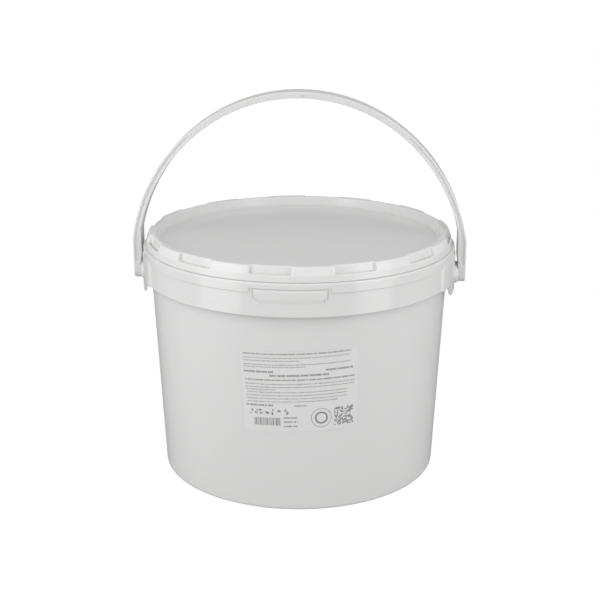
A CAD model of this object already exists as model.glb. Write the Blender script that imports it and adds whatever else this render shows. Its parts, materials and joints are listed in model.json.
"""Round white food bucket with a push-on lid, a bail handle and a front label."""

import json
import math
import random

import bpy
import numpy as np
from bpy.props import FloatProperty, FloatVectorProperty, IntProperty, PointerProperty
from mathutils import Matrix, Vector


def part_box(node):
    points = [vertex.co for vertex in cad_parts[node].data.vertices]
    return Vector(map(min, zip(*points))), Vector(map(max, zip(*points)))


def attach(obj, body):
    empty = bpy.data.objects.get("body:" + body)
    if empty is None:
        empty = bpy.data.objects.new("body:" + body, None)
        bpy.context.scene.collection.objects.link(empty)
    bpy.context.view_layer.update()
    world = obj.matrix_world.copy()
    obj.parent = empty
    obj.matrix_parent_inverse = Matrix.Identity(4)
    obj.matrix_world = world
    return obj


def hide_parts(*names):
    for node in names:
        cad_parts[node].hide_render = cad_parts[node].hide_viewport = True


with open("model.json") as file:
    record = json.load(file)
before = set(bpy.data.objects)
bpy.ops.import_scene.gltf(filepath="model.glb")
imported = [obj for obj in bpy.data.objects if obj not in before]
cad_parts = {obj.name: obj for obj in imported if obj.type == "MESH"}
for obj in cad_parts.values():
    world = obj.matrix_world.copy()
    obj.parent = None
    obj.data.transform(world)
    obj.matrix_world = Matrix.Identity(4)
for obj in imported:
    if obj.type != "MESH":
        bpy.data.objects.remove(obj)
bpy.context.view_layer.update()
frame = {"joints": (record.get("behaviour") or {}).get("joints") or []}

bl_info = {
    "name": "Lidded Food Bucket",
    "version": (1, 0, 0),
    "blender": (4, 5, 0),
    "location": "3D View > Sidebar > Bucket",
    "description": "Builds a moulded bucket with its lid, bail handle, label and studio",
    "category": "Add Mesh",
}

MM = 0.001


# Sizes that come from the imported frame

lid_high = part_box("lid")[1]
handle_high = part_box("handle")[1]
swing = next(joint for joint in frame["joints"] if joint["name"] == "handle_swing")
PIVOT_Z = swing["pos_m"][2]


# Properties


def length(name, description, default):
    return FloatProperty(
        name=name, description=description, default=default * MM, min=0, unit="LENGTH", precision=5
    )


def turn(name, description, degrees):
    return FloatProperty(
        name=name, description=description, default=math.radians(degrees), subtype="ANGLE"
    )


def number(name, description, default):
    return FloatProperty(name=name, description=description, default=default, min=0, max=1, precision=4)


def colour(name, description, default):
    return FloatVectorProperty(
        name=name, description=description, default=default, size=3, min=0, max=1, subtype="COLOR"
    )


class BucketTubSizes(bpy.types.PropertyGroup):
    """Sizes of the bucket itself"""

    base_radius: length("Base radius", "Outer radius of the wall at the ground", 127)
    taper: number("Wall taper", "Growth of the radius per unit of height", 0.0476)
    wall: length("Wall", "Thickness of the wall", 2)
    corner: length("Base corner", "Rounding between wall and foot", 3)
    foot: length("Foot height", "Height of the foot ring under the base", 3)
    floor: length("Floor", "Thickness of the base", 2.4)
    collar_bottom: length("Collar bottom", "Height of the collar's lower edge", 181)
    collar_radius: length("Collar radius", "Outer radius of the collar", 141.3156)
    band_bottom: length("Band bottom", "Height of the raised band's lower edge", 201.1)
    band_step: length("Band step", "How far the band stands out from the collar", 1.1)
    shelf_top: length("Shelf top", "Height of the shelf under the lid", 210)
    rim_height: length("Rim height", "Height of the rim above the shelf", 4.3)
    ear_step: length("Ear step", "How far the ear pads stand out from the collar", 2)
    tab_step: length("Tab step", "How far the tab panel stands out from the collar", 0.8)
    hub_radius: length("Hub radius", "Radius of the ear hub at the handle", 9.5)


class BucketLidSizes(bpy.types.PropertyGroup):
    """Sizes of the lid"""

    sections: IntProperty(name="Sections", description="Recessed sections round the rim", default=12, min=3)
    start: turn("Start angle", "Start of the first recess, from the front", -14.5)
    panel_depth: length("Panel depth", "How deep the panel lies under the rim", 8.3)
    crest_radius: length("Crest radius", "Outer radius of the rim over a recess", 134.2)
    crest_width: length("Crest width", "Width of the rim's top", 3.9)
    merlon_step: length("Raised section step", "How far a raised section stands out", 2.6)
    merlon_flare: length("Raised section flare", "How far its foot stands out further", 1.7)
    skirt_length: length("Skirt length", "Height of the skirt under the ledge", 6)
    slit: length("Slit width", "Width of the slit under each recess", 1.7)


class BucketHandleSizes(bpy.types.PropertyGroup):
    """Sizes of the bail handle"""

    thickness: length("Thickness", "Thickness of the grip, measured outwards", 6)
    arm_thickness: length("Arm thickness", "Thickness of the arms beside the bucket", 7.9)
    depth: length("Depth", "Depth of the arms, front to back", 17)
    grip_depth: length("Grip depth", "Depth of the grip, front to back", 20)
    grip_half_width: length("Grip half width", "Half the width of the plain grip", 99)
    flange: length("Flange", "Thickness of the walls beside the groove", 1.7)
    web: length("Web", "Thickness left between the grooves", 15)
    paddle_radius: length("Paddle radius", "Rounding of the arm's lower end", 8.5)


class BucketLabelSizes(bpy.types.PropertyGroup):
    """Sizes of the front label"""

    left: turn("Left", "Left edge, from the front", -18.3)
    right: turn("Right", "Right edge, from the front", 25)
    bottom: length("Bottom", "Height of the lower edge", 76)
    top: length("Top", "Height of the upper edge", 149)
    tilt: turn("Tilt", "How far the label was stuck on askew", 2)
    print_height: length("Print height", "How far the ink stands on the label", 0.03)
    seed: IntProperty(name="Seed", description="Seed of the blind text", default=7)


class BucketFinish(bpy.types.PropertyGroup):
    """Colours and gloss"""

    tub: colour("Bucket", "Colour of the bucket's plastic", (0.77, 0.77, 0.765))
    lid: colour("Lid", "Colour of the lid's plastic", (0.79, 0.79, 0.785))
    handle: colour("Handle", "Colour of the handle's plastic", (0.73, 0.73, 0.725))
    paper: colour("Label", "Colour of the label", (0.775, 0.775, 0.77))
    ink: colour("Ink", "Colour of the print", (0.27, 0.27, 0.27))
    roughness: number("Roughness", "Roughness of the plastic", 0.13)


# Geometry helpers

FINE_EDGE, EDGE = 0.3 * MM, 0.6 * MM


def rounded(points, steps=4):
    """An outline of (radius, height, cut) points with its corners rounded. A cut of 0 keeps a sharp corner.

    A point close to each side of a round holds the faces beside it flat."""
    result = []
    last = len(points) - 1
    for index, (radius, height, cut) in enumerate(points):
        here = np.array((radius, height))
        if cut <= 0 or index in (0, last):
            result.append(here)
            continue
        sides = []
        for other in (points[index - 1], points[index + 1]):
            along = np.array(other[:2]) - here
            size = max(np.linalg.norm(along), 1e-9)
            start = min(cut, 0.4 * size)
            hold = start + min(0.3 * MM, 0.08 * size)
            sides.append((here + along / size * start, here + along / size * hold))
        (first, before), (second, after) = sides
        result.append(before)
        for step in range(steps + 1):
            t = step / steps
            result.append((1 - t) ** 2 * first + 2 * t * (1 - t) * here + t * t * second)
        result.append(after)
    return np.array(result)


def subdivided(points, step_at):
    """Adds points along an outline, no further apart than step_at(middle) allows."""
    result = [points[0]]
    for first, second in zip(points[:-1], points[1:]):
        gap = np.linalg.norm(second - first)
        count = max(1, int(math.ceil(gap / step_at((first + second) / 2))))
        result += [first + (second - first) * k / count for k in range(1, count + 1)]
    return np.array(result)


def smooth_step(low, high, value):
    t = np.clip((value - low) / (high - low), 0, 1)
    return t * t * (3 - 2 * t)


def turn_out(mesh):
    """Turns a closed mesh's faces outwards."""
    volume = 0
    for face in mesh.polygons:
        corners = [mesh.vertices[k].co for k in face.vertices]
        for k in range(1, len(corners) - 1):
            volume += corners[0].dot(corners[k].cross(corners[k + 1]))
    if volume < 0:
        mesh.flip_normals()


def placed(name, mesh, sharp_angle):
    """An object of the mesh, turned outwards and shaded smooth up to the sharp angle in degrees."""
    turn_out(mesh)
    mesh.name = name
    mesh.polygons.foreach_set("use_smooth", [True] * len(mesh.polygons))
    mesh.set_sharp_from_angle(angle=math.radians(sharp_angle))
    obj = bpy.data.objects.new(name, mesh)
    bpy.context.scene.collection.objects.link(obj)
    return obj


def make_object(name, points, faces, sharp_angle=40):
    """An object from points and faces."""
    mesh = bpy.data.meshes.new(name)
    mesh.from_pydata([tuple(p) for p in points], [], faces)
    mesh.validate()
    return placed(name, mesh, sharp_angle)


def baked(obj, name, sharp_angle=40):
    """The evaluated object as a plain mesh object, with the source object removed."""
    graph = bpy.context.evaluated_depsgraph_get()
    mesh = bpy.data.meshes.new_from_object(obj.evaluated_get(graph))
    bpy.data.objects.remove(obj)
    return placed(name, mesh, sharp_angle)


def joined(parts):
    """Several (points, faces) shells as one."""
    points, faces = [], []
    for part_points, part_faces in parts:
        base = len(points)
        points += [tuple(p) for p in part_points]
        faces += [tuple(base + k for k in face) for face in part_faces]
    return points, faces


def outward(points, faces):
    """The same closed shell, turned so that its faces point out."""
    volume = 0
    array = [Vector(p) for p in points]
    for face in faces:
        for k in range(1, len(face) - 1):
            volume += array[face[0]].dot(array[face[k]].cross(array[face[k + 1]]))
    return (points, faces) if volume > 0 else (points, [tuple(reversed(face)) for face in faces])


def polar(angle, radius, height):
    return (radius * math.sin(angle), -radius * math.cos(angle), height)


def turned(angles, outlines, closed_turn=True):
    """A shell from one outline for each angle. Outlines start and end on the axis, or close on themselves."""
    count = len(angles)
    length_of = len(outlines[0])
    axis_ends = outlines[0][0][0] < 1e-9
    points, faces = [], []
    inner = range(1, length_of - 1) if axis_ends else range(length_of)
    for angle, outline in zip(angles, outlines):
        points += [polar(angle, *outline[k]) for k in inner]
    width = len(inner)
    turns = count if closed_turn else count - 1
    for i in range(turns):
        j = (i + 1) % count
        for k in range(width - 1 if axis_ends else width):
            n = (k + 1) % width
            faces.append((i * width + k, i * width + n, j * width + n, j * width + k))
    if axis_ends:
        low, high = len(points), len(points) + 1
        points += [(0, 0, outlines[0][0][1]), (0, 0, outlines[0][-1][1])]
        for i in range(turns):
            j = (i + 1) % count
            faces.append((low, i * width, j * width))
            faces.append((high, j * width + width - 1, i * width + width - 1))
    return points, faces


def ring_angles(step, focuses):
    """Degrees round the bucket: every step, and finely about each (centre, half width, fine step) focus."""
    values = set(np.round(np.arange(-180, 180, step), 4))
    for centre, half, fine in focuses:
        values = {v for v in values if abs(v - centre) > half}
        values |= set(np.round(np.arange(centre - half, centre + half + fine / 2, fine), 4))
    return np.array(sorted(values))


def ring_faces(rings, width, closed=False):
    """Faces between rings of points. If closed the last ring meets the first, or else both ends get a cap."""
    faces = []
    for i in range(rings if closed else rings - 1):
        j = (i + 1) % rings
        for k in range(width):
            n = (k + 1) % width
            faces.append((i * width + k, i * width + n, j * width + n, j * width + k))
    if not closed:
        faces += [tuple(reversed(range(width))), tuple(range((rings - 1) * width, rings * width))]
    return faces


def bar_along_x(sections, height, closed=False, steps=48):
    """A turned bar along X at a height, from (x, radius) sections. A closed one is a ring with a bore."""
    points = []
    for x, radius in sections:
        for k in range(steps):
            a = 2 * math.pi * k / steps
            points.append((x, radius * math.sin(a), height + radius * math.cos(a)))
    return outward(points, ring_faces(len(sections), steps, closed))


def mirror_x(part):
    points, faces = part
    return [(-x, y, z) for x, y, z in points], [tuple(reversed(face)) for face in faces]


# Materials


def math_node(tree, operation, *feeds):
    """The output of a maths node that is fed by numbers or by other outputs."""
    node = tree.nodes.new("ShaderNodeMath")
    node.operation = operation
    for socket, feed in zip(node.inputs, feeds):
        if isinstance(feed, (int, float)):
            socket.default_value = feed
        else:
            tree.links.new(feed, socket)
    return node.outputs[0]


def range_node(tree, feed, source, target):
    """The output of a node that maps the source range, low and high, to the target range."""
    node = tree.nodes.new("ShaderNodeMapRange")
    for name, value in zip(("From Min", "From Max", "To Min", "To Max"), (*source, *target)):
        node.inputs[name].default_value = value
    tree.links.new(feed, node.inputs["Value"])
    return node.outputs["Result"]


def moulded_plastic(name, base, roughness, grain=0.006, translucency=0.35):
    """Satin polypropylene: faint flow clouds in the colour, uneven gloss and a fine moulded grain."""
    material = bpy.data.materials.new(name)
    material.use_nodes = True
    nodes, links = material.node_tree.nodes, material.node_tree.links
    shader = nodes["Principled BSDF"]
    shader.inputs["IOR"].default_value = 1.49
    shader.inputs["Subsurface Weight"].default_value = translucency
    shader.inputs["Subsurface Radius"].default_value = (1, 1, 1)
    shader.inputs["Subsurface Scale"].default_value = 2.5 * MM
    place = nodes.new("ShaderNodeTexCoord")
    clouds = nodes.new("ShaderNodeTexNoise")
    clouds.inputs["Scale"].default_value = 9
    clouds.inputs["Detail"].default_value = 3
    tint = nodes.new("ShaderNodeMix")
    tint.data_type = "RGBA"
    tint.inputs["A"].default_value = (*[c * 0.985 for c in base], 1)
    tint.inputs["B"].default_value = (*[min(1, c * 1.015) for c in base], 1)
    sheen = nodes.new("ShaderNodeTexNoise")
    sheen.inputs["Scale"].default_value = 40
    sheen.inputs["Detail"].default_value = 4
    pores = nodes.new("ShaderNodeTexNoise")
    pores.inputs["Scale"].default_value = 700
    pores.inputs["Detail"].default_value = 2
    bump = nodes.new("ShaderNodeBump")
    bump.inputs["Strength"].default_value = grain
    bump.inputs["Distance"].default_value = 0.0004
    for texture in (clouds, sheen, pores):
        links.new(place.outputs["Object"], texture.inputs["Vector"])
    links.new(clouds.outputs["Fac"], tint.inputs["Factor"])
    links.new(tint.outputs["Result"], shader.inputs["Base Color"])
    gloss = range_node(material.node_tree, sheen.outputs["Fac"], (0, 1), (roughness - 0.03, roughness + 0.04))
    links.new(gloss, shader.inputs["Roughness"])
    links.new(pores.outputs["Fac"], bump.inputs["Height"])
    links.new(bump.outputs["Normal"], shader.inputs["Normal"])
    return material


def dress(obj, body, node, material):
    """Gives a finished piece its material, body, slot and the node that it stands for."""
    obj.data.materials.clear()
    obj.data.materials.append(material)
    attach(obj, body)
    if node:
        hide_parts(node)


# Bucket


def rim_radius(s):
    return s.base_radius + s.taper * s.shelf_top - 0.3 * MM


def tub_outline(s):
    """Outline of the bucket's wall, from under the base, over collar and rim, to the floor inside."""
    outer = lambda z: s.base_radius + s.taper * z
    foot_inner = s.base_radius - s.corner - 6 * MM
    inner_collar = s.collar_radius - s.wall
    band = s.collar_radius + s.band_step
    rim = rim_radius(s)
    rim_top = s.shelf_top + s.rim_height
    shelf_under = s.shelf_top - s.wall
    floor_top = s.foot + s.floor
    return [
        (0, s.foot, 0),
        (foot_inner - 1.5 * MM, s.foot, 0.8 * MM),
        (foot_inner, 0, EDGE),
        (s.base_radius, 0, s.corner),
        (outer(shelf_under), shelf_under, 1 * MM),
        (inner_collar, shelf_under, 1 * MM),
        (inner_collar, s.collar_bottom, 0.4 * MM),
        (s.collar_radius, s.collar_bottom, EDGE),
        (s.collar_radius, s.band_bottom, 0.5 * MM),
        (band, s.band_bottom + s.band_step * 0.5, EDGE),
        (band, s.shelf_top, 1.1 * MM),
        (rim, s.shelf_top, EDGE),
        (rim, s.shelf_top + s.rim_height * 0.45, FINE_EDGE),
        (rim + 0.5 * MM, s.shelf_top + s.rim_height * 0.6, FINE_EDGE),
        (rim + 0.5 * MM, rim_top, 0.5 * MM),
        (rim - 1.8 * MM, rim_top, EDGE),
        (rim - 1.8 * MM, shelf_under, 4 * MM),
        (outer(s.collar_bottom) - s.wall, s.collar_bottom, 4 * MM),
        (outer(floor_top) - s.wall, floor_top, 6 * MM),
        (0, floor_top, 0),
    ]


TAB_HALF_WIDTH, TAB_EDGE_ANGLE = 30.6 * MM, 12.6
TAB_LOW, TAB_HIGH, TAB_ROUND = 194.5 * MM, 203.6 * MM, 5 * MM
NOTCH_HALF_WIDTH, NOTCH_TOP = 34 * MM, 204.2 * MM
EAR_HALF_ANGLE = 25.3
EAR_EDGE = 0.6
LUG_ROOT_ANGLE, LUG_TIP_ANGLE, LUG_DROP = 17.5, 14.5, 10.5 * MM


def tab_distance(x, z):
    """Signed distance to the outline of the tab panel: a box with round lower corners."""
    qx = abs(x) - (TAB_HALF_WIDTH - TAB_ROUND)
    qz = (TAB_LOW + TAB_ROUND) - z
    round_part = math.hypot(max(qx, 0), max(qz, 0)) - TAB_ROUND + min(max(qx, qz), 0)
    return max(round_part, z - TAB_HIGH)


def collar_relief(s, degrees, z):
    """How far the outer face of the collar stands out at an angle and height."""
    x = s.collar_radius * math.sin(math.radians(degrees))
    front = abs(degrees) < 60
    from_ear = abs(abs(degrees) - 90)
    pad = s.ear_step * float(np.clip((EAR_HALF_ANGLE + EAR_EDGE - from_ear) / (2 * EAR_EDGE), 0, 1))
    in_band = smooth_step(s.band_bottom, s.band_bottom + 0.6 * MM, z)
    band = s.band_step * in_band
    if front:
        under_top = 1 - smooth_step(NOTCH_TOP - 0.3 * MM, NOTCH_TOP + 0.3 * MM, z)
        side = 1 - smooth_step(NOTCH_HALF_WIDTH - 0.5 * MM, NOTCH_HALF_WIDTH + 0.5 * MM, abs(x))
        band *= 1 - under_top * side
        distance = tab_distance(x, z)
        tab = s.tab_step * (1 - smooth_step(-0.45 * MM, 0.15 * MM, distance))
        groove = 0.8 * MM * math.exp(-(((distance - 0.35 * MM) / (0.32 * MM)) ** 2))
        return max(band, tab) - groove * (1 - in_band * (1 - under_top))
    top_fade = 1 - smooth_step(s.band_bottom + 0.2 * MM, s.band_bottom + 4 * MM, z)
    return max(band, pad * top_fade + band * (1 - top_fade))


def lug_depth(degrees):
    """How far the collar's lower edge hangs down at the ears."""
    from_ear = abs(abs(degrees) - 90)
    return LUG_DROP * (1 - smooth_step(LUG_TIP_ANGLE, LUG_ROOT_ANGLE, from_ear))


def tub_shell(s):
    fine_low, fine_high = TAB_LOW - 1.5 * MM, NOTCH_TOP + 1 * MM

    def step_at(point):
        on_collar = point[0] > s.collar_radius - 0.5 * s.wall
        if on_collar and fine_low < point[1] < fine_high:
            return 0.22 * MM
        if on_collar:
            return 2 * MM
        return 14 * MM

    outline = subdivided(rounded(tub_outline(s)), step_at)
    lug_edge = (LUG_ROOT_ANGLE + LUG_TIP_ANGLE) / 2
    focuses = [(-TAB_EDGE_ANGLE, 2.4, 0.14), (TAB_EDGE_ANGLE, 2.4, 0.14)]
    for ear in (90, -90):
        focuses += [(ear - EAR_HALF_ANGLE, 0.9, 0.15), (ear + EAR_HALF_ANGLE, 0.9, 0.15)]
        focuses += [(ear - lug_edge, 2, 0.35), (ear + lug_edge, 2, 0.35)]
    angles = ring_angles(1.5, focuses)
    plain_edge = s.collar_radius - 0.6 * s.wall
    outlines = []
    for degrees in angles:
        drop = lug_depth(degrees)
        ring = outline.copy()
        for point in ring:
            if point[0] > plain_edge and point[1] < s.shelf_top - 1.6 * MM:
                share = smooth_step(plain_edge, s.collar_radius - 0.3 * MM, point[0])
                relief = collar_relief(s, degrees, point[1])
                point[0] += (relief - max(0, point[0] - s.collar_radius)) * share
            from_edge = (point[1] - s.collar_bottom) / (6 * MM)
            if drop > 0 and point[0] > s.collar_radius - s.wall * 1.02 and -0.2 < from_edge < 1:
                hang = 1 - max(0, from_edge)
                if point[0] < s.collar_radius - 0.3 * s.wall:
                    point[0] += 2 * MM * hang * drop / LUG_DROP
                point[1] -= drop * hang
        outlines.append(ring)
    return turned(np.radians(angles), outlines)


def hub_shell(s, inner_x, outer_x):
    """The hub on the ear that the handle turns on, with its bore."""
    flare, bore = 2.5 * MM, 5.3 * MM
    outline = [
        (inner_x, s.hub_radius + flare),
        (inner_x + 0.6 * MM, s.hub_radius + flare * 0.85),
        (inner_x + 1.4 * MM, s.hub_radius + flare * 0.35),
        (outer_x - 0.4 * MM, s.hub_radius),
        (outer_x, s.hub_radius - 0.4 * MM),
        (outer_x, bore + 0.3 * MM),
        (outer_x - 0.3 * MM, bore),
        (inner_x, bore),
    ]
    return bar_along_x(outline, PIVOT_Z, closed=True)


class BUCKET_OT_tub(bpy.types.Operator):
    """Build the bucket with its collar, tab panel, ears and hubs"""

    bl_idname = "bucket.tub"
    bl_label = "Bucket"

    def execute(self, context):
        s = context.scene.bucket_tub
        finish = context.scene.bucket_finish
        ear = s.collar_radius + s.ear_step
        hub = hub_shell(s, ear - 2 * MM, ear + 3 * MM)
        shell = outward(*tub_shell(s))
        tub = make_object("tub_moulding", *joined([shell, hub, mirror_x(hub)]))
        material = moulded_plastic("tub_white", finish.tub, finish.roughness)
        dress(tub, "bucket", "tub", material)
        return {"FINISHED"}


# Lid


def lid_outline(s, tub, raised, slit_share=1.0):
    """Outline of the lid over a recess or over a raised section, always with the same number of points.

    The slit under a recess is as deep as its share says."""
    rim = rim_radius(tub)
    ledge_under = tub.shelf_top + tub.rim_height + 0.3 * MM
    ledge = ledge_under + 1.5 * MM
    skirt_inner = rim + 1.1 * MM
    skirt = skirt_inner + 1.5 * MM
    skirt_bottom = ledge - s.skirt_length
    plug = rim - 1.8 * MM - 0.5 * MM
    high = lid_high[2]
    panel = high - s.panel_depth
    crest_inner = s.crest_radius - s.crest_width
    panel_radius = crest_inner - 3 * MM
    foot = s.crest_radius + 1.1 * MM
    raised_top = s.crest_radius + s.merlon_step
    raised_foot = max(raised_top + s.merlon_flare, skirt)
    slit_depth = 3.2 * MM * max(slit_share, 0.01)
    slit_inner = raised_foot - 1.5 * MM - s.slit
    under = [
        (0, panel - 1.8 * MM, 0),
        (panel_radius + 1.6 * MM, panel - 1.8 * MM, EDGE),
        (crest_inner + 1.6 * MM, high - 1.7 * MM, FINE_EDGE),
        (plug - 1.4 * MM, high - 1.7 * MM, FINE_EDGE),
        (plug - 1.4 * MM, ledge_under - 5 * MM, 0.4 * MM),
        (plug, ledge_under - 4.2 * MM, EDGE),
        (plug, ledge_under, FINE_EDGE),
        (skirt_inner, ledge_under, FINE_EDGE),
        (skirt_inner, skirt_bottom + 1.5 * MM, FINE_EDGE),
        (skirt_inner - 0.3 * MM, skirt_bottom + 1 * MM, FINE_EDGE),
        (skirt_inner + 0.3 * MM, skirt_bottom, 0.2 * MM),
        (skirt + 0.5 * MM, skirt_bottom, 0.7 * MM),
    ]
    top = [
        (crest_inner, high, 0.8 * MM),
        (panel_radius, panel, 1.6 * MM),
        (panel_radius - 6 * MM, panel, 0),
        (0, panel, 0),
    ]
    if raised:
        along = lambda t: (raised_foot + (raised_top - raised_foot) * t, ledge + (high - ledge) * t)
        middle = [
            (skirt + 0.03 * MM, ledge - 0.4 * MM, 0.1 * MM),
            (*along(0.04), 0.15 * MM),
            (*along(0.12), 0.15 * MM),
            (*along(0.22), 0.15 * MM),
            (*along(0.34), 0.15 * MM),
            (*along(0.5), FINE_EDGE),
            (raised_top, high, 1 * MM),
        ]
    else:
        middle = [
            (skirt, ledge, 0.55 * MM),
            (slit_inner + s.slit, ledge, 0.2 * MM),
            (slit_inner + s.slit, ledge - slit_depth, 0.1 * MM),
            (slit_inner, ledge - slit_depth, 0.1 * MM),
            (slit_inner, ledge, 0.15 * MM),
            (foot, ledge + 0.1 * MM, 0.4 * MM),
            (s.crest_radius, high, 1 * MM),
        ]
    return rounded(under + middle + top)


def lid_sector(s, tub):
    """One recess and one raised section as an open sector: its points, its faces and the angle it covers."""
    pitch = 360 / s.sections
    change, slit_from, slit_to, slit_end = 0.28, 0.5, 13.6, 0.12
    recess_end = pitch / 2
    offsets = set(np.round(np.linspace(0, pitch, int(pitch) + 1), 4))
    for border in (0, recess_end, pitch):
        offsets |= set(np.round(np.linspace(border - change, border + change, 9), 4))
    for border in (slit_from, slit_to):
        offsets |= {round(border - slit_end, 4), round(border + slit_end, 4)}
    offsets = [value for value in sorted(offsets) if 0 <= value <= pitch]
    raised = lid_outline(s, tub, True)
    rings = []
    for value in offsets:
        if value < pitch / 4:
            share = 1 - smooth_step(-change, change, value)
        elif value < pitch * 3 / 4:
            share = smooth_step(-change, change, value - recess_end)
        else:
            share = 1 - smooth_step(-change, change, value - pitch)
        opened = 1.0 if slit_from < value < slit_to else 0.0
        recess = lid_outline(s, tub, False, opened)
        rings.append(recess + (raised - recess) * share)
    return offsets, rings


def sector_tree(sections, start):
    """Geometry Nodes: turns one sector round the axis, welds the seams and sets the material."""
    tree = bpy.data.node_groups.new("lid_sections", "GeometryNodeTree")
    face = tree.interface
    face.new_socket("Geometry", in_out="INPUT", socket_type="NodeSocketGeometry")
    count = face.new_socket("Sections", in_out="INPUT", socket_type="NodeSocketInt")
    offset = face.new_socket("Start angle", in_out="INPUT", socket_type="NodeSocketFloat")
    coat = face.new_socket("Material", in_out="INPUT", socket_type="NodeSocketMaterial")
    face.new_socket("Geometry", in_out="OUTPUT", socket_type="NodeSocketGeometry")
    nodes, links = tree.nodes, tree.links
    source = nodes.new("NodeGroupInput")
    target = nodes.new("NodeGroupOutput")
    spots = nodes.new("GeometryNodePoints")
    index = nodes.new("GeometryNodeInputIndex")
    pitch = math_node(tree, "DIVIDE", 2 * math.pi, source.outputs["Sections"])
    angle = math_node(tree, "MULTIPLY_ADD", index.outputs[0], pitch, source.outputs["Start angle"])
    turn_vector = nodes.new("ShaderNodeCombineXYZ")
    instances = nodes.new("GeometryNodeInstanceOnPoints")
    realize = nodes.new("GeometryNodeRealizeInstances")
    weld = nodes.new("GeometryNodeMergeByDistance")
    weld.inputs["Distance"].default_value = 2e-6
    paint = nodes.new("GeometryNodeSetMaterial")
    links.new(source.outputs["Sections"], spots.inputs["Count"])
    links.new(angle, turn_vector.inputs["Z"])
    links.new(spots.outputs[0], instances.inputs["Points"])
    links.new(source.outputs["Geometry"], instances.inputs["Instance"])
    links.new(turn_vector.outputs[0], instances.inputs["Rotation"])
    links.new(instances.outputs[0], realize.inputs[0])
    links.new(realize.outputs[0], weld.inputs["Geometry"])
    links.new(weld.outputs[0], paint.inputs["Geometry"])
    links.new(source.outputs["Material"], paint.inputs["Material"])
    links.new(paint.outputs[0], target.inputs[0])
    return tree, {count.identifier: sections, offset.identifier: start}, coat.identifier


class BUCKET_OT_lid(bpy.types.Operator):
    """Build the lid from one repeated section"""

    bl_idname = "bucket.lid"
    bl_label = "Lid"

    def execute(self, context):
        s, finish = context.scene.bucket_lid, context.scene.bucket_finish
        offsets, rings = lid_sector(s, context.scene.bucket_tub)
        points, faces = turned(np.radians(offsets), rings, closed_turn=False)
        mesh = bpy.data.meshes.new("lid_sector")
        mesh.from_pydata(points, [], faces)
        sector = bpy.data.objects.new("lid_sector", mesh)
        context.scene.collection.objects.link(sector)
        material = moulded_plastic("lid_white", finish.lid, finish.roughness)
        tree, values, coat = sector_tree(s.sections, s.start)
        modifier = sector.modifiers.new("sections", "NODES")
        modifier.node_group = tree
        for key, value in values.items():
            modifier[key] = value
        modifier[coat] = material
        lid = baked(sector, "lid_moulding")
        dress(lid, "cover", "lid", material)
        hook = make_object("lid_hook", *lift_hook(context.scene.bucket_tub))
        dress(hook, "cover", None, material)
        return {"FINISHED"}


HOOK_ANGLES = 58.6, 64.8


def lift_hook(tub):
    """The small catch on the skirt where the lid is pulled off."""
    skirt = rim_radius(tub) + 2.6 * MM
    ledge = tub.shelf_top + tub.rim_height + 1.8 * MM
    low, high, cut = ledge - 2.6 * MM, ledge - 0.7 * MM, 0.4 * MM
    root, face = skirt - 0.8 * MM, skirt + 1 * MM
    outline = [
        (root, low), (face - cut, low), (face, low + cut),
        (face, high - cut), (face - cut, high), (root, high),
    ]
    angles = np.radians(np.linspace(*HOOK_ANGLES, 14))
    points = [polar(angle, *spot) for angle in angles for spot in outline]
    return outward(points, ring_faces(len(angles), len(outline)))


# Handle


PADDLE_THICKNESS = 7 * MM
PADDLE_CORNER = 2.2 * MM
ARCH_BASE = 186.8 * MM
ARCH_SPREAD = 1.9 * MM


def arch_point(angle, half_width, limit, top):
    """A point of the half ellipse, flattened at the sides."""
    x = max(-limit, min(limit, half_width * math.cos(angle)))
    return np.array((x, ARCH_BASE + (top - ARCH_BASE) * math.sin(angle)))


def handle_stations(s):
    """Outer and inner edge points along the bar, from the left paddle over the grip to the right one."""
    half, top = handle_high[0], handle_high[2]
    arm_inner = half - s.arm_thickness
    bottom = PIVOT_Z - s.paddle_radius
    groove_end = PIVOT_Z + s.paddle_radius
    heights = list(bottom + s.paddle_radius * (1 - np.cos(np.linspace(0.04, math.pi / 2, 16))))
    heights += list(np.linspace(PIVOT_Z, ARCH_BASE, 5)[1:])
    stations = [(np.array((half, z)), np.array((arm_inner, z))) for z in heights]
    angles = set(np.round(np.linspace(0, math.pi, 181), 5))
    for x in (s.grip_half_width, -s.grip_half_width):
        middle = math.acos(x / (half + ARCH_SPREAD))
        angles |= set(np.round(np.linspace(middle - 0.02, middle + 0.02, 25), 5))
    middle = math.asin((groove_end - ARCH_BASE) / (top - ARCH_BASE))
    for centre in (middle, math.pi - middle):
        angles |= set(np.round(np.linspace(centre - 0.006, centre + 0.006, 13), 5))
    for angle in sorted(angles):
        outer = arch_point(angle, half + ARCH_SPREAD, half, top)
        inner = arch_point(angle, half + ARCH_SPREAD - s.thickness, arm_inner, top - s.thickness)
        stations.append((outer, inner))
    left = [(o * (-1, 1), i * (-1, 1)) for o, i in reversed(stations[: len(heights)])]
    return stations + left


def bar_section(width, depth, groove, flange, edge):
    """Section across the bar as (distance from the outer edge, depth) points, grooved front and back."""
    half = depth / 2
    slope = 0.5 * MM
    front = rounded(
        [
            (0, 0, 0),
            (0, half, edge),
            (flange, half, 0.3 * MM),
            (flange + slope, half - groove, 0.3 * MM),
            (width - flange - slope, half - groove, 0.3 * MM),
            (width - flange, half, 0.3 * MM),
            (width, half, edge),
            (width, 0, 0),
        ]
    )
    back = [(u, -v) for u, v in front[-2:0:-1]]
    return [tuple(point) for point in front] + back


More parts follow.
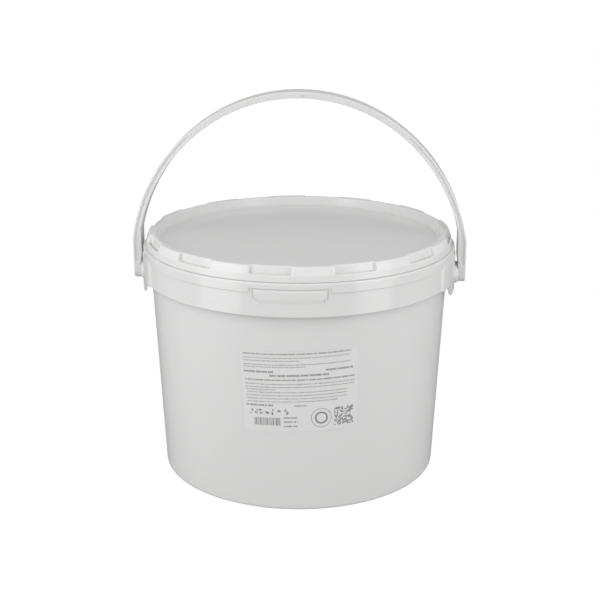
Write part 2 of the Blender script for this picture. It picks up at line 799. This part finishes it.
def handle_shell(s):
    grip = s.grip_half_width
    groove_end = PIVOT_Z + s.paddle_radius
    paddle_inner = handle_high[0] - PADDLE_THICKNESS
    sections = []
    for outer, inner in handle_stations(s):
        x, z = abs((outer[0] + inner[0]) / 2), (outer[1] + inner[1]) / 2
        on_grip = 1 - smooth_step(grip - 1.2 * MM, grip + 1.2 * MM, x)
        on_paddle = 1 - smooth_step(groove_end - 0.5 * MM, groove_end + 0.5 * MM, z)
        groove = (s.depth - s.web) / 2 * (1 - max(on_grip, on_paddle))
        depth = s.depth + (s.grip_depth - s.depth) * smooth_step(groove_end, groove_end + 45 * MM, z)
        drop = min(1, max(0, PIVOT_Z - z) / s.paddle_radius)
        depth *= max(0.06, math.sqrt(1 - drop * drop))
        side = math.copysign(1, outer[0])
        reach = smooth_step(groove_end + 1 * MM, groove_end + s.paddle_radius, z)
        if z < groove_end + s.paddle_radius:
            inner = np.array((side * (paddle_inner + (abs(inner[0]) - paddle_inner) * reach), inner[1]))
        above = z - (PIVOT_Z - s.paddle_radius)
        if above < PADDLE_CORNER:
            back_in = PADDLE_CORNER - math.sqrt(PADDLE_CORNER ** 2 - (PADDLE_CORNER - above) ** 2)
            outer = outer - (side * back_in, 0)
            inner = inner + (side * back_in * 0.4, 0)
        width = np.linalg.norm(outer - inner)
        along = (inner - outer) / width
        edge = min((0.7 + 1.0 * on_grip) * MM, depth * 0.4, width * 0.4)
        ring = bar_section(width, depth, min(groove, depth * 0.4), min(s.flange, width * 0.3), edge)
        sections.append([(outer[0] + along[0] * u, -v, outer[1] + along[1] * u) for u, v in ring])
    points = [point for ring in sections for point in ring]
    return outward(points, ring_faces(len(sections), len(sections[0])))


class BUCKET_OT_handle(bpy.types.Operator):
    """Build the bail handle with its grip, grooved arms and pins"""

    bl_idname = "bucket.handle"
    bl_label = "Handle"

    def execute(self, context):
        s, tub = context.scene.bucket_handle, context.scene.bucket_tub
        finish = context.scene.bucket_finish
        paddle_inner = handle_high[0] - PADDLE_THICKNESS
        behind = tub.collar_radius - tub.wall - 0.3 * MM
        pin = bar_along_x(
            [
                (behind - 1.6 * MM, 5.5 * MM), (behind, 6.5 * MM), (behind, 5 * MM),
                (paddle_inner + 1 * MM, 5 * MM),
            ],
            PIVOT_Z,
        )
        mark_height = handle_high[2] - 4 * MM
        mark = gate_mark(3.9 * MM, -s.grip_depth / 2, mark_height)
        shell = handle_shell(s)
        handle = make_object("handle_moulding", *joined([shell, pin, mirror_x(pin), mark]), sharp_angle=75)
        material = moulded_plastic("handle_white", finish.handle, finish.roughness + 0.05)
        dress(handle, "bail", "handle", material)
        return {"FINISHED"}


def gate_mark(x, y, z):
    """The small round mark that the moulding gate left on the front of the grip."""
    steps, radius, stand = 20, 1.1 * MM, 0.12 * MM
    points = []
    for r, out in ((radius, -0.4 * MM), (radius, stand * 0.5), (radius * 0.7, stand)):
        for k in range(steps):
            a = 2 * math.pi * k / steps
            points.append((x + r * math.cos(a), y - out, z + r * math.sin(a)))
    return outward(points, ring_faces(3, steps))


# Label


LABEL_UNDER, LABEL_TOP = 0.06 * MM, 0.22 * MM
LABEL_MIDDLE, LABEL_CORNER = 112 * MM, 2.5 * MM
LABEL_COLUMNS, LABEL_ROWS = 64, 40


def label_scale(tub):
    """Length along the wall for one radian, at the label's middle height."""
    return tub.base_radius + tub.taper * LABEL_MIDDLE


def askew(s, tub, x, z):
    """A point of the upright label after its small tilt about its own middle."""
    middle_x, middle_z = (s.left + s.right) / 2 * label_scale(tub), (s.bottom + s.top) / 2
    c, t = math.cos(s.tilt), math.sin(s.tilt)
    x, z = x - middle_x, z - middle_z
    return middle_x + x * c - z * t, middle_z + x * t + z * c


def wrapped(s, tub, x, z, out):
    """A point of the flat label, x along the wall and z up, laid on the bucket's wall."""
    x, z = askew(s, tub, x, z)
    return polar(x / label_scale(tub), tub.base_radius + tub.taper * z + out, z)


# Rows of blind text: left, right, height of the middle line, height and weight of the marks, in millimetres
TEXT_ROWS = [
    (-39.5, 53, 147.0, 2.0, 0.9), (-39.5, 51.5, 143.5, 1.5, 0.5), (-39.5, 8, 140.9, 1.5, 0.5),
    (-39.5, 52, 137.4, 1.5, 0.5), (-39.5, 14, 135.3, 1.5, 0.5),
    (-39.5, -13, 131.0, 2.6, 1.1), (30.3, 54.7, 131.6, 2.6, 1.1), (-17.5, 33, 127.6, 2.6, 1.1),
    (-38.8, 55.6, 123.6, 2.0, 0.9), (-38.8, 55.6, 119.7, 1.5, 0.5), (-38.8, 55, 117.0, 1.5, 0.5),
    (-38.8, -13, 114.7, 1.5, 0.5), (-38, 49, 112.3, 1.5, 0.5), (-38, 48.4, 109.4, 1.5, 0.5),
    (-38, 48.4, 106.5, 1.5, 0.5), (-38, 40, 103.7, 1.5, 0.5), (-39, -14.5, 100.4, 2.4, 1.1),
    (2.6, 13.7, 99.9, 1.8, 0.9), (-6.9, 5.1, 88.9, 2.0, 1.1), (-6.9, 5.1, 85.2, 2.0, 1.1),
    (-6.9, 5.1, 81.0, 2.0, 1.1),
]
SMALL_MARKS = (-35.0, -30.6, -26.3, -21.0, -15.7, -10.5, -4.3)
BARS = (-32.9, -10.4, 81.8, 89.0)
RINGS = ((25.3, 87.9, 8.6, 0.45), (25.3, 87.9, 4.9, 1.5))
SQUARE = (36.6, 53.4, 79.6, 96.4, 15)


def print_marks(seed):
    """The print as small boxes: middle x and z, width, height, turn and how much the height may vary."""
    dice = random.Random(seed)
    marks = []
    for left, right, z, height, weight in TEXT_ROWS:
        x = left
        while x < right:
            for _ in range(dice.randint(2, 9)):
                width = height * dice.uniform(0.28, 0.5)
                stroke = width * (0.55 + 0.3 * weight)
                if x + width < right:
                    marks.append((x + stroke / 2, z, stroke, height * (0.62 + 0.16 * weight), 0, 0.35))
                x += width + height * 0.06
            x += height * 0.32
    for x in SMALL_MARKS:
        for _ in range(4):
            spot = x + dice.uniform(-1.1, 1.1), 94.4 + dice.uniform(-1.9, 1.9)
            marks.append((*spot, dice.uniform(0.7, 1.9), dice.uniform(0.8, 2.2), dice.uniform(-0.5, 0.5), 0))
    left, right, low, high = BARS
    x = left
    while x < right:
        width = dice.choice((0.35, 0.35, 0.7, 1.05))
        marks.append((x + width / 2, (low + high) / 2, width, high - low, 0, 0))
        x += width + dice.choice((0.35, 0.35, 0.7))
    for middle_x, middle_z, radius, stroke in RINGS:
        count = 48
        for k in range(count):
            a = 2 * math.pi * k / count
            spot = middle_x + radius * math.sin(a), middle_z + radius * math.cos(a)
            marks.append((*spot, 2.1 * math.pi * radius / count, stroke, -a, 0))
    left, right, low, high, cells = SQUARE
    size = (right - left) / cells
    for i in range(cells):
        for k in range(cells):
            if dice.random() < 0.5:
                marks.append((left + (i + 0.5) * size, low + (k + 0.5) * size, size, size, 0, 0))
    return marks


def print_tree(values):
    """Geometry Nodes: a box for each mark, laid on the wall and given its ink."""
    tree = bpy.data.node_groups.new("label_print", "GeometryNodeTree")
    face, nodes, links = tree.interface, tree.nodes, tree.links
    face.new_socket("Geometry", in_out="INPUT", socket_type="NodeSocketGeometry")
    settings = {}
    for name, value in values.items():
        kind = {int: "NodeSocketInt", float: "NodeSocketFloat"}.get(type(value), "NodeSocketMaterial")
        settings[face.new_socket(name, in_out="INPUT", socket_type=kind).identifier] = value
    face.new_socket("Geometry", in_out="OUTPUT", socket_type="NodeSocketGeometry")
    source, target = nodes.new("NodeGroupInput"), nodes.new("NodeGroupOutput")

    def maths(operation, *feeds):
        return math_node(tree, operation, *feeds)

    def attribute(name):
        node = nodes.new("GeometryNodeInputNamedAttribute")
        node.inputs["Name"].default_value = name
        return node.outputs["Attribute"]

    box = nodes.new("GeometryNodeMeshCube")
    dice = nodes.new("FunctionNodeRandomValue")
    links.new(source.outputs["Seed"], dice.inputs["Seed"])
    cut = maths("MULTIPLY", dice.outputs[1], attribute("vary"))
    height = maths("MULTIPLY", attribute("height"), maths("SUBTRACT", 1, cut))
    scale = nodes.new("ShaderNodeCombineXYZ")
    links.new(attribute("width"), scale.inputs["X"])
    links.new(source.outputs["Ink height"], scale.inputs["Y"])
    links.new(height, scale.inputs["Z"])
    twist = nodes.new("ShaderNodeCombineXYZ")
    links.new(attribute("turn"), twist.inputs["Y"])
    instances = nodes.new("GeometryNodeInstanceOnPoints")
    links.new(source.outputs["Geometry"], instances.inputs["Points"])
    links.new(box.outputs["Mesh"], instances.inputs["Instance"])
    links.new(twist.outputs[0], instances.inputs["Rotation"])
    links.new(scale.outputs[0], instances.inputs["Scale"])
    realize = nodes.new("GeometryNodeRealizeInstances")
    links.new(instances.outputs[0], realize.inputs[0])
    place = nodes.new("GeometryNodeInputPosition")
    flat = nodes.new("ShaderNodeSeparateXYZ")
    links.new(place.outputs[0], flat.inputs[0])
    angle = maths("DIVIDE", flat.outputs["X"], source.outputs["Arc scale"])
    base, taper = source.outputs["Wall radius"], source.outputs["Wall taper"]
    wall = maths("MULTIPLY_ADD", flat.outputs["Z"], taper, base)
    radius = maths("SUBTRACT", wall, flat.outputs["Y"])
    laid = nodes.new("ShaderNodeCombineXYZ")
    links.new(maths("MULTIPLY", radius, maths("SINE", angle)), laid.inputs["X"])
    links.new(maths("MULTIPLY", maths("MULTIPLY", radius, -1), maths("COSINE", angle)), laid.inputs["Y"])
    links.new(flat.outputs["Z"], laid.inputs["Z"])
    move = nodes.new("GeometryNodeSetPosition")
    links.new(realize.outputs[0], move.inputs["Geometry"])
    links.new(laid.outputs[0], move.inputs["Position"])
    paint = nodes.new("GeometryNodeSetMaterial")
    links.new(move.outputs[0], paint.inputs["Geometry"])
    links.new(source.outputs["Ink"], paint.inputs["Material"])
    links.new(paint.outputs[0], target.inputs[0])
    return tree, settings


def label_sheet(s, tub):
    """The label itself: a thin closed sheet with round corners, laid on the wall."""
    left, right = s.left * label_scale(tub), s.right * label_scale(tub)
    points = []
    for x in np.linspace(left, right, LABEL_COLUMNS + 1):
        side = max(0, LABEL_CORNER - min(x - left, right - x))
        cut = LABEL_CORNER - math.sqrt(LABEL_CORNER ** 2 - side * side)
        heights = np.linspace(s.bottom + cut, s.top - cut, LABEL_ROWS + 1)
        points += [wrapped(s, tub, x, z, LABEL_UNDER) for z in heights]
        points += [wrapped(s, tub, x, z, LABEL_TOP) for z in reversed(heights)]
    faces = ring_faces(LABEL_COLUMNS + 1, 2 * (LABEL_ROWS + 1))
    return make_object("label_sheet", points, faces, sharp_angle=60)


def label_print(s, tub, ink):
    """All marks of the print as one piece."""
    marks = print_marks(s.seed)
    layout = bpy.data.meshes.new("print_layout")
    flat = [askew(s, tub, mark[0] * MM, mark[1] * MM) for mark in marks]
    layout.from_pydata([(x, 0, z) for x, z in flat], [], [])
    columns = {
        "width": [mark[2] * MM for mark in marks],
        "height": [mark[3] * MM for mark in marks],
        "turn": [-s.tilt - mark[4] for mark in marks],
        "vary": [mark[5] for mark in marks],
    }
    for name, column in columns.items():
        layout.attributes.new(name, "FLOAT", "POINT").data.foreach_set("value", column)
    source = bpy.data.objects.new("print_layout", layout)
    bpy.context.scene.collection.objects.link(source)
    tree, settings = print_tree(
        {
            "Seed": s.seed,
            "Ink height": s.print_height,
            "Arc scale": label_scale(tub),
            "Wall taper": tub.taper,
            "Wall radius": tub.base_radius + LABEL_TOP + s.print_height * 0.4,
            "Ink": ink,
        }
    )
    modifier = source.modifiers.new("print", "NODES")
    modifier.node_group = tree
    for key, value in settings.items():
        modifier[key] = value
    return baked(source, "label_print")


class BUCKET_OT_label(bpy.types.Operator):
    """Build the front label and its blind print"""

    bl_idname = "bucket.label"
    bl_label = "Label"

    def execute(self, context):
        s, tub = context.scene.bucket_label, context.scene.bucket_tub
        finish = context.scene.bucket_finish
        paper = moulded_plastic("label_white", finish.paper, 0.3, grain=0.004, translucency=0)
        dress(label_sheet(s, tub), "bucket", "label", paper)
        ink = moulded_plastic("label_ink", finish.ink, 0.4, grain=0.004, translucency=0)
        dress(label_print(s, tub, ink), "bucket", None, ink)
        return {"FINISHED"}


# Stage


FLOOR_GREY = (0.5, 0.5, 0.5)
FLOOR_GLOW, FLOOR_GLOW_SHARE = 1.13, 0.86


def studio_floor(material):
    """White sweep: plain white to the camera and to reflections, with the object's soft shadow kept."""
    material.use_nodes = True
    nodes, links = material.node_tree.nodes, material.node_tree.links
    nodes.clear()
    target = nodes.new("ShaderNodeOutputMaterial")
    lit = nodes.new("ShaderNodeBsdfDiffuse")
    lit.inputs["Color"].default_value = (*FLOOR_GREY, 1)
    glow = nodes.new("ShaderNodeEmission")
    glow.inputs["Color"].default_value = (1, 1, 1, 1)
    glow.inputs["Strength"].default_value = FLOOR_GLOW
    path = nodes.new("ShaderNodeLightPath")
    mix = nodes.new("ShaderNodeMixShader")
    seen = math_node(
        material.node_tree, "MAXIMUM", path.outputs["Is Camera Ray"], path.outputs["Is Transmission Ray"]
    )
    links.new(math_node(material.node_tree, "MULTIPLY", seen, FLOOR_GLOW_SHARE), mix.inputs["Fac"])
    links.new(lit.outputs[0], mix.inputs[1])
    links.new(glow.outputs[0], mix.inputs[2])
    links.new(mix.outputs[0], target.inputs["Surface"])


def studio_world(world):
    """Plain white to the camera. As a light it is brightest at the front horizon, dimmer above and behind."""
    world.use_nodes = True
    tree = world.node_tree
    nodes, links = tree.nodes, tree.links
    place = nodes.new("ShaderNodeTexCoord")
    height = nodes.new("ShaderNodeSeparateXYZ")
    links.new(place.outputs["Generated"], height.inputs["Vector"])
    sky = range_node(tree, height.outputs["Z"], (0, 0.9), (HORIZON, ZENITH))
    behind = range_node(tree, height.outputs["Y"], (-0.3, 0.7), (1, BEHIND))
    path = nodes.new("ShaderNodeLightPath")
    strength = nodes.new("ShaderNodeMix")
    strength.data_type = "FLOAT"
    strength.inputs["B"].default_value = 1
    links.new(
        math_node(tree, "MAXIMUM", path.outputs["Is Camera Ray"], path.outputs["Is Transmission Ray"]),
        strength.inputs["Factor"],
    )
    links.new(math_node(tree, "MULTIPLY", sky, behind), strength.inputs["A"])
    back = nodes["Background"]
    back.inputs["Color"].default_value = (1, 1, 1, 1)
    links.new(strength.outputs["Result"], back.inputs["Strength"])


def standing_lamp(name, angle, distance, width, height, power):
    """A tall soft lamp that stands on the floor and faces the bucket. It isn't in the picture itself."""
    data = bpy.data.lights.new(name, "AREA")
    data.shape = "RECTANGLE"
    data.size, data.size_y = width, height
    data.energy = power
    lamp = bpy.data.objects.new(name, data)
    lamp.location = polar(angle, distance, height / 2 + 0.005)
    lamp.rotation_euler = (math.pi / 2, 0, angle)
    lamp.visible_camera = False
    bpy.context.scene.collection.objects.link(lamp)
    return lamp


CAMERA_PLACE = (58.2 * MM, -1094.5 * MM, 491.1 * MM)
CAMERA_PITCH = math.radians(17.15)
CAMERA_TURN = math.radians(3.0)
CAMERA_LENS = 73.63
HORIZON, ZENITH, BEHIND = 0.9, 0.66, 0.6


class BUCKET_OT_stage(bpy.types.Operator):
    """Build the camera, the floor, the lamps and the white world"""

    bl_idname = "bucket.stage"
    bl_label = "Stage"

    def execute(self, context):
        scene = context.scene
        data = bpy.data.cameras.new("camera")
        data.sensor_width = 36
        data.lens = CAMERA_LENS
        camera = bpy.data.objects.new("camera", data)
        camera.location = CAMERA_PLACE
        camera.rotation_euler = (math.pi / 2 - CAMERA_PITCH, 0, CAMERA_TURN)
        scene.collection.objects.link(camera)
        scene.camera = camera

        bpy.ops.mesh.primitive_plane_add(size=12, location=(0, 0, -0.0002))
        floor = context.object
        floor.name = "studio_floor"
        cover = bpy.data.materials.new("floor_white")
        studio_floor(cover)
        floor.data.materials.append(cover)

        scene.world = bpy.data.worlds.new("studio")
        studio_world(scene.world)
        standing_lamp("left_softbox", math.radians(-50), 0.66, 0.35, 1.0, 2.1)
        standing_lamp("right_softbox", math.radians(53), 0.66, 0.31, 1.0, 1.75)

        scene.view_settings.view_transform = "Standard"
        return {"FINISHED"}


# Panel and registration


class BUCKET_PT_panel(bpy.types.Panel):
    """Sizes, colours and build steps of the bucket"""

    bl_label = "Bucket"
    bl_idname = "BUCKET_PT_panel"
    bl_space_type = "VIEW_3D"
    bl_region_type = "UI"
    bl_category = "Bucket"

    def draw(self, context):
        for name in GROUPS:
            box = self.layout.box()
            group = getattr(context.scene, name)
            for key in group.__annotations__:
                box.prop(group, key)
        for operator in STEPS:
            self.layout.operator(operator.bl_idname)


GROUPS = {
    "bucket_tub": BucketTubSizes,
    "bucket_lid": BucketLidSizes,
    "bucket_handle": BucketHandleSizes,
    "bucket_label": BucketLabelSizes,
    "bucket_finish": BucketFinish,
}
STEPS = (BUCKET_OT_stage, BUCKET_OT_tub, BUCKET_OT_lid, BUCKET_OT_handle, BUCKET_OT_label)


def register():
    for group in GROUPS.values():
        bpy.utils.register_class(group)
    for operator in (*STEPS, BUCKET_PT_panel):
        bpy.utils.register_class(operator)
    for name, group in GROUPS.items():
        setattr(bpy.types.Scene, name, PointerProperty(type=group))


def unregister():
    for name in GROUPS:
        delattr(bpy.types.Scene, name)
    for operator in (*STEPS, BUCKET_PT_panel):
        bpy.utils.unregister_class(operator)
    for group in GROUPS.values():
        bpy.utils.unregister_class(group)


def main():
    register()
    bpy.ops.bucket.stage()
    bpy.ops.bucket.tub()
    bpy.ops.bucket.lid()
    bpy.ops.bucket.handle()
    bpy.ops.bucket.label()


if __name__ == "__main__":
    main()
